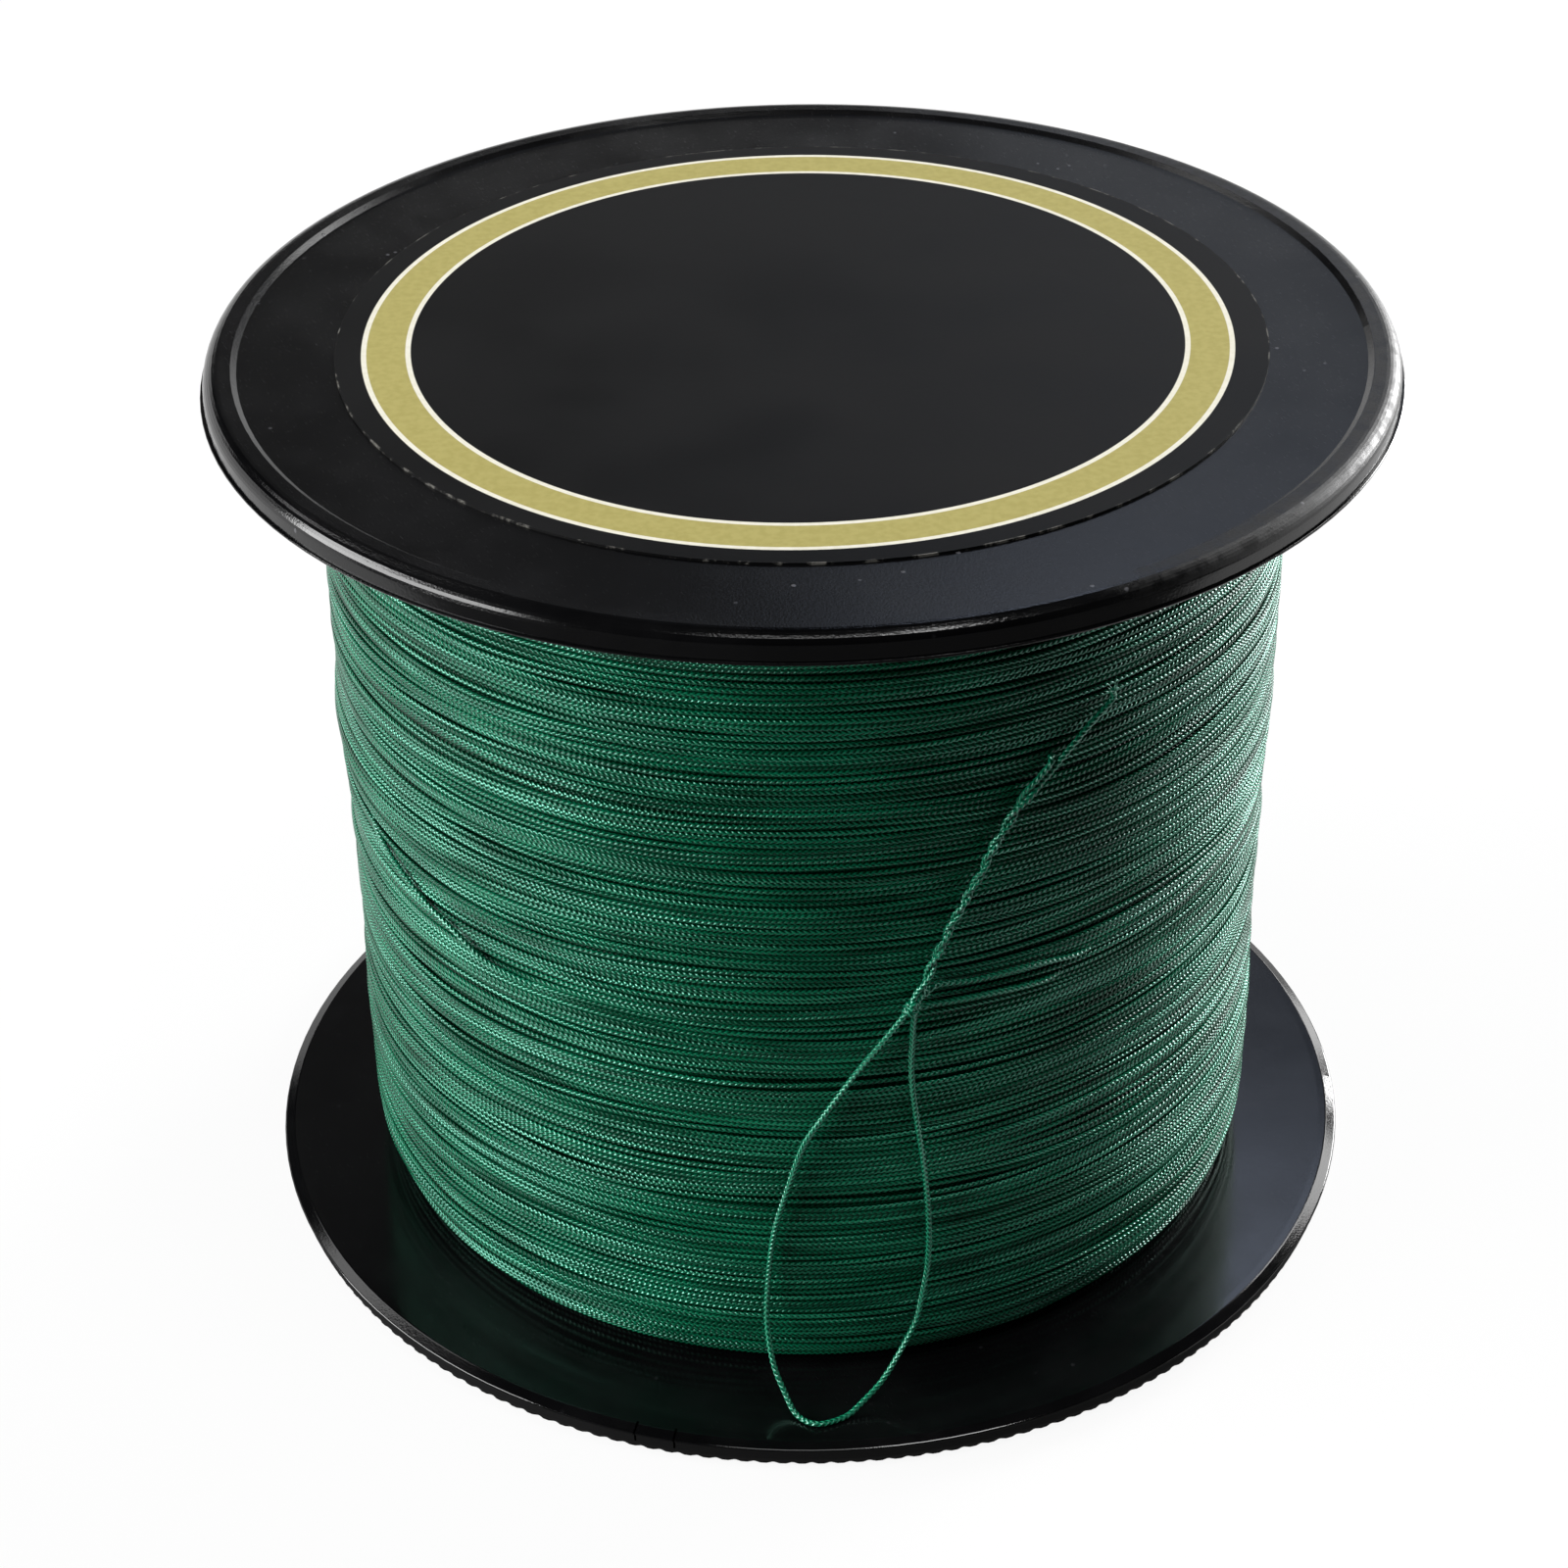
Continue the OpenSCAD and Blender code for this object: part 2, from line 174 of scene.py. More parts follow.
SHOULDER_R = (flange_r - 1.9 * MM, flange_r - 1.5 * MM)
WALL_R, WALL_Z = (flange_r - 2 * MM, flange_r - 1.5 * MM), (2.2 * MM, 2.1 * MM)
WORN_R, WORN_X = (flange_r - 3.1 * MM, flange_r - 2.6 * MM), (14 * MM, 34 * MM)
WORN_Z = (spool_top - 1.4 * MM, spool_top - 0.8 * MM)

# ---- stage ----

CAMERA_AT = (0.83 * MM, -277.32 * MM, 221.16 * MM)
CAMERA_LENS, CAMERA_SENSOR = 80.17, 36.0
CAMERA_YAW, CAMERA_PITCH, CAMERA_ROLL = -0.607, 33.386, -0.859  # degrees; pitch is downwards

LAMP_DISTANCE = 0.85
WHITE, COOL, BLUISH = (1, 1, 1), (0.8, 0.87, 1.0), (0.68, 0.78, 1.0)
# Name, angle from the front, elevation, width and height, watts, colour
LAMPS = [
    ("left_softbox", -77, 18, (0.72, 0.42), 10.8, WHITE),
    ("right_softbox", 131, 11, (0.36, 0.32), 9.8, WHITE),
    ("right_edge_low", 151, 18, (0.16, 0.2), 0.4, WHITE),
    ("right_edge", 139, 36, (0.2, 0.32), 1.25, WHITE),
    ("left_edge", -130, 47, (0.16, 0.3), 0.35, WHITE),
    ("top_right", 50, 72, (0.2, 0.2), 1.7, WHITE),
    ("back_panel", 168, 38, (0.3, 0.2), 0.08, BLUISH),
    ("back_panel_middle", 168, 41, (0.17, 0.12), 0.10, BLUISH),
    ("back_low", 168, 27, (0.22, 0.16), 0.04, COOL),
    ("back_wide", 185, 31, (0.45, 0.28), 0.028, WHITE),
    ("top_front", 0, 75, (0.3, 0.2), 0.6, WHITE),
]
ROOM_COLOUR, ROOM_STRENGTH = (0.93, 0.96, 1.0, 1), 0.007

FLOOR_R, SWEEP_R, BACKDROP_TOP = 0.75, 0.18, 0.34
SWEEP_POINTS, FLOOR_SEGMENTS = 10, 96
# The paper's own colour and glow, then those of its painted shade, which all but camera rays see;
# and the glow's share
PAPER, SHADED_PAPER = (0.35, 0.35, 0.35), (0.06, 0.06, 0.06)
PAPER_GLOW, SHADED_GLOW, GLOW_SHARE = 1.15, 0.1, 0.8
# Where the painted shade on the paper begins and where it is full: towards the front, and round
# the foot
SHADE_FRONT_Y = (-72 * MM, -115 * MM)
SHADE_FOOT_R = (84 * MM, 56 * MM)


# ======== geometry ========

# Corners of a quad of a tube: steps along it, steps round it
CORNERS = [(0, 0), (0, 1), (1, 1), (1, 0)]
STEP_TO_SIDE = 1.2  # a quad's length against its width, for the baked map
ROW_MARGIN = 0.05


def at(angle, radius, height):
    """The point at an angle in degrees from the front, a radius and a height."""
    a = np.radians(angle)
    return np.stack([radius * np.sin(a), -radius * np.cos(a), height + 0 * a], axis=-1)


def unit(v):
    return v / np.linalg.norm(v, axis=-1, keepdims=True)


def headings(path):
    """The direction of a path at each of its points."""
    ahead = np.vstack([path[1:], path[-1:]])
    behind = np.vstack([path[:1], path[:-1]])
    return unit(ahead - behind)


def along(path):
    """The distance along a path of each of its points."""
    steps = np.linalg.norm(np.diff(path, axis=0), axis=1)
    return np.concatenate([[0.0], np.cumsum(steps)])


def smooth_route(points, step):
    """A Catmull-Rom curve through the points, with a point about every step."""
    p = np.array(points, float)
    made = []
    for i in range(len(p) - 1):
        a, b, c, d = p[max(i - 1, 0)], p[i], p[i + 1], p[min(i + 2, len(p) - 1)]
        n = max(1, round(np.linalg.norm(c - b) / step))
        t = (np.arange(n) / n)[:, None]
        made.append(0.5 * (2 * b + (c - a) * t + (2 * a - 5 * b + 4 * c - d) * t * t
                           + (3 * b - a - 3 * c + d) * t * t * t))
    return np.vstack(made + [p[-1:]])


def carried_normals(path, first):
    """Normals along a path that never spin round it."""
    heading = headings(path)
    normals = [unit(first - heading[0] * (first @ heading[0]))]
    for h in heading[1:]:
        last = normals[-1]
        normals.append(unit(last - h * (last @ h)))
    return np.array(normals)


def braid(angle, run):
    """Relief of a four-strand braid, from -1 to 1: columns of leaning bumps, staggered."""
    lean = BRAID_LEAN * np.sin(2 * angle)
    return np.cos(2 * angle) * np.cos(4 * np.pi * (run / BRAID_PITCH + lean))


def mesh_of(name, points, loops, starts, uv_maps):
    """A smooth mesh from flat arrays: its corners' points, where each face starts, and UV maps."""
    mesh = bpy.data.meshes.new(name)
    mesh.vertices.add(len(points))
    mesh.vertices.foreach_set("co", points.astype(np.float32).ravel())
    mesh.loops.add(len(loops))
    mesh.loops.foreach_set("vertex_index", loops.astype(np.int32))
    mesh.polygons.add(len(starts))
    mesh.polygons.foreach_set("loop_start", starts.astype(np.int32))
    mesh.polygons.foreach_set("use_smooth", np.ones(len(starts), bool))
    for map_name, uv in uv_maps.items():
        layer = mesh.uv_layers.new(name=map_name)
        layer.data.foreach_set("uv", uv.astype(np.float32).ravel())
    mesh.update(calc_edges=True)
    mesh.validate()
    return mesh


def bake_rows(steps, sides):
    """A map that lays a long tube out as rows of a square, for anything that bakes it."""
    rows = max(1, round(math.sqrt(steps * STEP_TO_SIDE / sides)))
    per_row = math.ceil(steps / rows)
    i, k = np.meshgrid(np.arange(steps), np.arange(sides), indexing="ij")
    left, row = (i % per_row) / per_row, i // per_row
    width = 1 - 2 * ROW_MARGIN
    uv = [np.stack([left + a / per_row, (row + ROW_MARGIN + width * (k + b) / sides) / rows], -1)
          for a, b in CORNERS]
    return np.stack(uv, axis=2).reshape(-1, 2)


def strand_map(angles, twist, run):
    """A map of the braid: distance along it in pitches, and share of a turn round it."""
    i, k = np.meshgrid(np.arange(len(run) - 1), np.arange(len(angles)), indexing="ij")
    turned = np.append(angles, angles[0] + 2 * np.pi) / (2 * np.pi)
    spin, u = twist / (2 * np.pi), run / BRAID_PITCH
    uv = [np.stack([u[i + a], turned[k + b] - spin[i + a]], -1) for a, b in CORNERS]
    return np.stack(uv, axis=2).reshape(-1, 2)


def tube_points(path, out, radius, angles, bumps):
    """A ring of points round each point of a path, raised where bumps is more than 0."""
    heading = headings(path)
    out = unit(out - (out * heading).sum(1)[:, None] * heading)
    side = np.cross(heading, out)
    reach = np.reshape(radius, (-1, 1)) * (1 + bumps)
    ring = (np.cos(angles)[None, :, None] * out[:, None]
            + np.sin(angles)[None, :, None] * side[:, None])
    return (path[:, None] + reach[:, :, None] * ring).reshape(-1, 3)


def tube_faces(rings, sides):
    """The quads between rings of points, with a cap at each end: corners, and face starts."""
    i, k = np.meshgrid(np.arange(rings - 1), np.arange(sides), indexing="ij")
    quads = np.stack([(i + a) * sides + (k + b) % sides for a, b in CORNERS], axis=-1)
    first_cap = np.arange(sides)[::-1]
    last_cap = (rings - 1) * sides + np.arange(sides)
    loops = np.concatenate([quads.ravel(), first_cap, last_cap])
    starts = np.concatenate([np.arange(0, quads.size, 4), [quads.size, quads.size + sides]])
    return loops, starts


def tube(name, path, out, radius, angles, twist, run=None, relief=BRAID_RELIEF):
    """A tube along a path, with the braid in relief. out points away from what it lies on."""
    rings, sides = len(path), len(angles)
    run = along(path) if run is None else run
    angles = np.radians(angles)
    bumps = relief * braid(angles[None, :] - twist[:, None], run[:, None])
    points = tube_points(path, out, radius, angles, bumps)
    caps = np.zeros((2 * sides, 2))
    maps = {"strand": np.vstack([strand_map(angles, twist, run), caps]),
            "OFBake": np.vstack([bake_rows(rings - 1, sides), caps])}
    return mesh_of(name, points, *tube_faces(rings, sides), maps)


def lathe(name, section, segments):
    """A closed section, points (radius, height) run anticlockwise, turned round the axis."""
    n = len(section)
    angle = 360 * np.arange(segments) / segments
    points = at(angle[:, None], section[None, :, 0], section[None, :, 1]).reshape(-1, 3)
    i, k = np.meshgrid(np.arange(segments), np.arange(n), indexing="ij")
    ahead, after = (i + 1) % segments, (k + 1) % n
    quads = np.stack([i * n + k, ahead * n + k, ahead * n + after, i * n + after], axis=-1)
    around = along(np.vstack([section, section[:1]]))
    turn = 2 * np.pi * section[:, 0].max() * np.stack([i, i + 1, i + 1, i], -1) / segments
    up = np.stack([around[k], around[k], around[k + 1], around[k + 1]], -1)
    strand = np.stack([turn, up], -1).reshape(-1, 2) / BRAID_PITCH
    return mesh_of(name, points, quads.ravel(), 4 * np.arange(segments * n), {"strand": strand})


def piece(name, mesh, material, slot, *stands_for):
    """An object that rides on the spool, with its material and the CAD nodes it stands for."""
    made = bpy.data.objects.new(name, mesh)
    bpy.context.scene.collection.objects.link(made)
    mesh.materials.append(material)
    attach(made, BODY)
    if stands_for:
        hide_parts(*stands_for)
    return made


# ======== winding ========

def drawn_in(z):
    """How far the winding draws in at a height, where it meets a flange."""
    t = np.clip(1 - np.minimum(z - low_z, high_z - z) / SHOULDER_H, 0, 1)
    return SHOULDER_DROP * (1 - np.sqrt(1 - t * t))


def winding_profile(sink):
    """Points (radius, height) from flange to flange, sink below the outermost turns' centres."""
    z = np.linspace(low_z + LINE_R, high_z - LINE_R, PROFILE_POINTS)
    heights, swell = np.array(SWELL).T * MM
    r = turn_r - drawn_in(z) + np.interp(z, heights, swell) - sink
    return np.stack([r, z], axis=-1)


def wavy(rng, rows, rings, waves, steady):
    """Smooth noise round the spool for each row, with one part that holds all the way round."""
    a = 2 * np.pi * np.arange(rings) / rings
    k = np.arange(1, waves + 1)
    size = rng.normal(size=(rows, waves, 2)) / np.sqrt(waves)
    turning = size[:, :, 0] @ np.cos(np.outer(k, a)) + size[:, :, 1] @ np.sin(np.outer(k, a))
    return turning + steady * rng.normal(size=(rows, 1))


def keep_apart(places, least):
    """Pushes neighbouring rows apart until hardly any is nearer than least to the next."""
    low, high = places[0].copy(), places[-1].copy()
    for _ in range(PUSHES):
        short = np.clip(least - np.diff(places, axis=0), 0, None)
        places[:-1] -= 0.5 * short
        places[1:] += 0.5 * short
        places[0], places[-1] = low, high
    return places


def spread_to_helix(rows):
    """Rows of values, one more than there are turns, joined so that each turn ends on the next."""
    rings = rows.shape[1]
    share = np.arange(rings) / rings
    return (rows[:-1] * (1 - share) + rows[1:] * share).ravel()


def crowded_turns(rng, turns, rings, length):
    """How far along the profile each turn lies, and how far it is lifted out of it."""
    rows = turns + 1
    even = np.linspace(0, length, rows)[:, None]
    aside = STRAY * wavy(rng, rows, rings, STRAY_WAVES, STRAY_STEADY)
    aside[0] = aside[-1] = 0
    crowded = np.clip(LEAST_PITCH - np.diff(even + aside, axis=0), 0, None)
    crowded = np.vstack([crowded[:1], crowded[:-1] + crowded[1:], crowded[-1:]])
    places = keep_apart(even + aside, LEAST_PITCH)
    rides = rng.choice([-RIDE, RIDE], size=(rows, 1))
    lift = rides * crowded + DEPTH * wavy(rng, rows, rings, DEPTH_WAVES, DEPTH_STEADY)
    lift = MOST_LIFT * np.tanh(lift / MOST_LIFT) - LET_IN * MOST_LIFT
    return spread_to_helix(places), spread_to_helix(lift)


def wound_layer(rng, turns, rings, sink, way):
    """Centres and outward normals of a layer of turns that crowd and part at random."""
    profile = winding_profile(sink)
    run = along(profile)
    q, lift = crowded_turns(rng, turns, rings, run[-1])
    angle = way * (180 + 360 * np.arange(turns * rings) / rings)
    slope = unit(np.gradient(profile, axis=0))
    r, z = np.interp(q, run, profile[:, 0]), np.interp(q, run, profile[:, 1])
    out_r, out_z = np.interp(q, run, slope[:, 1]), -np.interp(q, run, slope[:, 0])
    near = np.clip(np.cos(np.radians(angle - BULGE_AT)), 0, 1) ** 2
    r = r + out_r * (lift + BULGE * near * np.exp(-(((z - BULGE_Z) / BULGE_H) ** 2)))
    return at(angle, r, z + out_z * lift), at(angle, out_r, out_z)


def winding(name, rng, turns, rings, sink, way, material):
    """A layer of turns as one line, in pieces of a few turns that meet end to end.

    sink is how far it lies below the outermost turns, and way is 1 or -1, for the way round.
    """
    path, out = wound_layer(rng, turns, rings, sink, way)
    run = along(path)
    knots = DRIFT * np.cumsum(rng.normal(size=len(path) // DRIFT_RINGS + 2))
    twist = np.interp(np.arange(len(path)), DRIFT_RINGS * np.arange(len(knots)), knots)
    per_piece = TURNS_PER_PIECE * RINGS
    for i in range(math.ceil(len(path) / per_piece)):
        part = slice(i * per_piece, (i + 1) * per_piece + 1)
        mesh = tube(f"{name}_{i + 1}", path[part], out[part], TIGHT_R, ROUND_WOUND, twist[part],
                    run[part], relief=0)
        piece(f"{name}_{i + 1}", mesh, material, "braid", "line_outer_layer")


def winding_body(material):
    """The inner layers as one body, ridged by the turns on it."""
    profile = winding_profile(2 * LAYER_DEPTH + BODY_GAP)
    run = along(profile)
    q = np.linspace(0, run[-1], RIDGE_POINTS * UNDER_TURNS)
    ridges = BODY_RIDGE * np.cos(2 * np.pi * np.arange(len(q)) / RIDGE_POINTS)
    outer = np.stack([np.interp(q, run, profile[:, 0]) + ridges,
                      np.interp(q, run, profile[:, 1])], axis=-1)
    outer[0, 1], outer[-1, 1] = low_z, high_z
    inner_r = barrel_r + BARREL_GAP
    section = np.vstack([[[inner_r, low_z]], outer, [[inner_r, high_z]]])
    mesh = lathe("winding_body", section, BODY_SEGMENTS)
    piece("winding_body", mesh, material, "braid", "line_core")


# ======== free end, knot and frayed tip ========

def twisted(path):
    """The route with the live strand and the tag wound round each other above the knot."""
    low, high = PAIR_Z
    made = path.copy()
    angle = np.degrees(np.arctan2(path[:, 0], -path[:, 1]))
    half = len(path) // 2
    for i in np.nonzero((path[:, 2] > low) & (path[:, 2] < high))[0]:
        share = (path[i, 2] - low) / (high - low)
        strand = 1 if i <= half else -1  # the live strand, or the tag
        out = at(angle[i], 1.0, 0.0)
        across = np.cross(UP, out)
        beside = math.radians(BESIDE[0]) * turn_r * across + BESIDE[2] * MM * UP
        to_middle = 0.5 * strand * beside
        apart = np.linalg.norm(to_middle)
        joined = min(1, PAIR_ENDS * share, PAIR_ENDS * (1 - share))
        reach = apart - (apart - PAIR_REACH) * joined
        eased = share * share * (3 - 2 * share)
        spin = 2 * math.pi * PAIR_TURNS * (PAIR_EASE * eased + (1 - PAIR_EASE) * share)
        lift = PAIR_LIFT * math.sqrt(math.sin(math.pi * share))
        turned = math.sin(spin) * strand * out - math.cos(spin) * to_middle / apart
        made[i] = path[i] + to_middle + lift * out + reach * turned
    return made


def free_line(material):
    """The live strand, the loop and the tag, as one cord."""
    points = np.array(FREE_POINTS)
    route = smooth_route(at(points[:, 0], points[:, 1] * MM, points[:, 2] * MM), FREE_STEP)
    path = twisted(route)
    low, high = PAIR_Z
    thin = np.clip(np.minimum(path[:, 2] - low, high - path[:, 2]) / THINNING_Z, 0, 1)
    mesh = tube("free_line", path, carried_normals(path, UP), LINE_R * (1 - PAIR_THINNING * thin),
                ROUND, along(path) / LINE_TWIST)
    made = piece("free_line", mesh, material, "braid", "line_end")
    return made, path


def strays(material):
    """Single strands that lie over the turns."""
    for i, points in enumerate(STRAYS):
        p = np.array(points)
        path = smooth_route(at(p[:, 0], turn_r + p[:, 1] * MM, p[:, 2] * MM), FREE_STEP)
        mesh = tube(f"stray_{i + 1}", path, carried_normals(path, UP), LINE_R, ROUND,
                    along(path) / LINE_TWIST)
        piece(f"stray_{i + 1}", mesh, material, "braid", "line_outer_layer")


def knot_frame():
    """The knot's place, and its axes: across the strands, along them, and out of the winding."""
    angle, radius, height = KNOT_AT
    out = at(angle, 1.0, 0.0)
    level = np.cross(UP, out)
    lean = math.radians(KNOT_LEAN)
    across = math.cos(lean) * level - math.sin(lean) * UP
    axis = math.cos(lean) * UP + math.sin(lean) * level
    return at(angle, radius * MM, height * MM), across, axis, out


def knot(material):
    """Nearly three wraps drawn tight round both strands, with a short hook at the upper left."""
    centre, across, axis, out = knot_frame()
    t = np.linspace(0, 1, WRAP_POINTS)[:, None]
    a = 2 * np.pi * WRAPS * t + WRAP_FROM
    climb = (t - 0.5) * WRAPS * WRAP_STEP
    coil = centre + climb * axis + WRAP_R * (np.cos(a) * across + np.sin(a) * out)
    hook = coil[-1] + MM * np.array(HOOK) @ np.array([across, axis, out])
    path = np.vstack([coil[:-1], smooth_route(hook, HOOK_STEP)])
    mesh = tube("loop_knot_wraps", path, carried_normals(path, out), WRAP_LINE_R, ROUND,
                along(path) / WRAP_TWIST)
    return piece("loop_knot_wraps", mesh, material, "braid", "loop_knot")


def fibre(rng, end, heading, tuft):
    """The points of a loose fibre that leaves the line's end and leans with its tuft."""
    out = at(TAG_TIP[-1][0], 1.0, 0.0)
    lean = tuft + rng.normal(0, LEAN_SPREAD)
    rise = rng.normal(0, RISE_SPREAD)
    length = rng.uniform(*FIBRE_LENGTHS) * MM
    way = unit(FIBRE_AHEAD * heading + lean * np.cross(UP, out) + rise * out)
    root = end - ROOT_DEPTH * heading + rng.normal(0, ROOT_SPREAD, 3)
    curl = rng.normal(0, CURL_SPREAD, 3)
    t = np.linspace(0, 1, FIBRE_RINGS)[:, None]
    path = root + way * length * t + curl * t * t
    normals = carried_normals(path, np.cross(way, UP) + 1e-3)  # never zero, even upright
    width = FIBRE_R * (FIBRE_TAPER - t)
    return tube_points(path, normals, width, np.radians(ROUND_FIBRE), 0)


def frayed_tip(material, rng, end, heading):
    """Loose fibres at the cut end, fanned out in two tufts."""
    points = np.vstack([fibre(rng, end, heading, TUFTS[i % 2]) for i in range(FIBRES)])
    one, _ = tube_faces(FIBRE_RINGS, len(ROUND_FIBRE))
    per_fibre = FIBRE_RINGS * len(ROUND_FIBRE)
    loops = (per_fibre * np.arange(FIBRES)[:, None] + one).ravel()
    mesh = mesh_of("frayed_tip", points, loops, np.arange(0, len(loops), 4), {})
    return piece("frayed_tip", mesh, material, "braid")


# ======== materials ========

class Shader:
    """A material, with short ways to add and join its nodes."""

    def __init__(self, name):
        self.material = bpy.data.materials.new(name)
        self.material.use_nodes = True
        self.tree = self.material.node_tree
        self.surface = self.tree.nodes["Principled BSDF"]

    def put(self, socket, value):
        """Sets a socket to a number or a colour, or links it to another node's output."""
        if isinstance(value, bpy.types.NodeSocket):
            self.tree.links.new(value, socket)
        elif isinstance(value, tuple) and len(value) == 3 and len(socket.default_value) == 4:
            socket.default_value = (*value, 1)
        else:
            socket.default_value = value

    def node(self, kind, settings=(), **inputs):
        made = self.tree.nodes.new(kind)
        for name, value in dict(settings).items():
            setattr(made, name, value)
        for name, value in inputs.items():
            self.put(made.inputs[name.replace("_", " ")], value)
        return made

    def maths(self, operation, a, b=0.0):
        made = self.node("ShaderNodeMath", {"operation": operation})
        self.put(made.inputs[0], a)
        self.put(made.inputs[1], b)
        return made.outputs[0]

    def plus(self, a, b):
        return self.maths("ADD", a, b)

    def times(self, a, b):
        return self.maths("MULTIPLY", a, b)

    def radius(self, x, y):
        return self.maths("SQRT", self.plus(self.times(x, x), self.times(y, y)))

    def spread(self, value, low, high, to_low=0.0, to_high=1.0):
        """A value from low to high, mapped to to_low to to_high and kept inside."""
        made = self.node("ShaderNodeMapRange", {"interpolation_type": "SMOOTHSTEP"}, Value=value,
                         From_Min=low, From_Max=high, To_Min=to_low, To_Max=to_high)
        return made.outputs[0]

    def fall(self, value, high, low):
        """0 where a value is above high, rising to 1 where it is below low."""
        return self.spread(value, low, high, 1.0, 0.0)

    def noise(self, where, scale, detail=3.0, rough=0.5):
        made = self.node("ShaderNodeTexNoise", Vector=where, Scale=scale, Detail=detail,
                         Roughness=rough)
        return made.outputs["Fac"]

    def mix(self, share, a, b):
        """A colour between a and b."""
        made = self.node("ShaderNodeMix", {"data_type": "RGBA"})
        share_in, a_in, b_in = made.inputs[0], made.inputs[6], made.inputs[7]
        for socket, value in ((share_in, share), (a_in, a), (b_in, b)):
            self.put(socket, value)
        return made.outputs[2]

    def place(self):
        """Where a point is, in the frame's metres."""
        return self.node("ShaderNodeTexCoord").outputs["Object"]

    def parts(self, vector):
        return self.node("ShaderNodeSeparateXYZ", Vector=vector).outputs

    def join(self, x, y):
        return self.node("ShaderNodeCombineXYZ", X=x, Y=y, Z=0.0).outputs[0]

    def bump(self, height, distance):
        return self.node("ShaderNodeBump", Height=height, Distance=distance,
                         Strength=1.0).outputs[0]

    def finish(self, **sockets):
        for name, value in sockets.items():
            self.put(self.surface.inputs[name.replace("_", " ")], value)
        return self.material


def braid_material(name, deep, light, gloss, uneven, ior=2.3):
    """Tightly braided fibre: leaning bumps with painted shade in the valleys between them, fine
    filaments and a tinted gloss.

    uneven is how far the line darkens and dulls along its length, from 0 to 1.
    """
    s = Shader(name)
    uv = s.node("ShaderNodeUVMap", {"uv_map": "strand"}).outputs[0]
    run, turn, _ = s.parts(uv)
    twice = s.times(turn, 4 * math.pi)
    lean = s.times(s.maths("SINE", twice), BRAID_LEAN)
    wave = s.maths("COSINE", s.times(s.plus(run, lean), 4 * math.pi))
    bumps = s.times(s.maths("COSINE", twice), wave)

    # Filaments run with the strand that is on top, which leans one way or the other
    strand = s.join(s.times(run, FILAMENT_RUN), s.times(s.plus(turn, lean), FILAMENTS))
    filaments = s.noise(strand, scale=1.0, detail=2.0)
    tone = s.noise(s.join(s.times(run, TONE_RUN), 0.0), scale=1.0, detail=2.0)
    patches = s.noise(s.place(), scale=160.0)

    # The valleys between bumps are painted darker, a painted shade; filaments, tone and patches
    # are the line's own marks
    shade = s.plus(s.spread(bumps, -0.9, 0.6), s.times(filaments, 0.5))
    shade = s.times(shade, s.spread(tone, 0.3, 0.7, 1 - 0.6 * uneven, 1.2))
    shade = s.times(shade, s.spread(patches, 0.3, 0.7, 0.8, 1.1))
    colour = s.mix(s.spread(shade, 0.1, 1.35), deep, light)

    # Little gloss in the valleys between bumps, which is painted shade on the gloss, and along
    # stretches that are dull
    faint = tuple(FAINT * g for g in gloss)
    tint = s.mix(s.spread(bumps, -0.7, 0.3), faint, gloss)
    tint = s.mix(s.spread(tone, 0.32, 0.64, uneven, 0.0), tint, faint)
    height = s.plus(s.times(bumps, 0.8), s.times(filaments, 0.06))
    return s.finish(Base_Color=colour, Roughness=s.spread(filaments, 0.2, 0.8, 0.16, 0.25),
                    IOR=ior, Specular_Tint=tint, Normal=s.bump(height, 0.05 * MM))


def rim_roughness(s, place, roughness, wall, rubbed):
    """The roughness with the marks of a flange's rim: shoulder, wall and worn side."""
    x, y, z = s.parts(place)
    r = s.radius(x, y)
    roughness = s.times(roughness, s.spread(s.spread(r, *SHOULDER_R), 0.0, 1.0, 1.0, 0.6))
    at_wall = s.times(s.spread(r, *WALL_R), s.fall(z, *WALL_Z))
    roughness = s.maths("MAXIMUM", roughness, s.times(at_wall, wall))
    worn = s.times(s.spread(r, *WORN_R), s.spread(x, *WORN_X))
    worn = s.times(worn, s.spread(z, *WORN_Z))
    scuffs = s.spread(s.noise(place, scale=700.0, detail=4.0, rough=0.7), 0.35, 0.65, 0.75, 1.2)
    return s.maths("MAXIMUM", roughness, s.times(worn, s.times(scuffs, rubbed)))


def dust_specks(s, place, amount):
    """Specks of dust, gathered here and there."""
    cells = s.node("ShaderNodeTexVoronoi", Vector=place, Scale=520.0)
    dots = s.fall(cells.outputs["Distance"], 0.13, 0.06)
    gathered = s.spread(s.noise(place, scale=150.0, detail=2.0), 0.54, 0.66)
    return s.times(s.times(dots, gathered), amount)


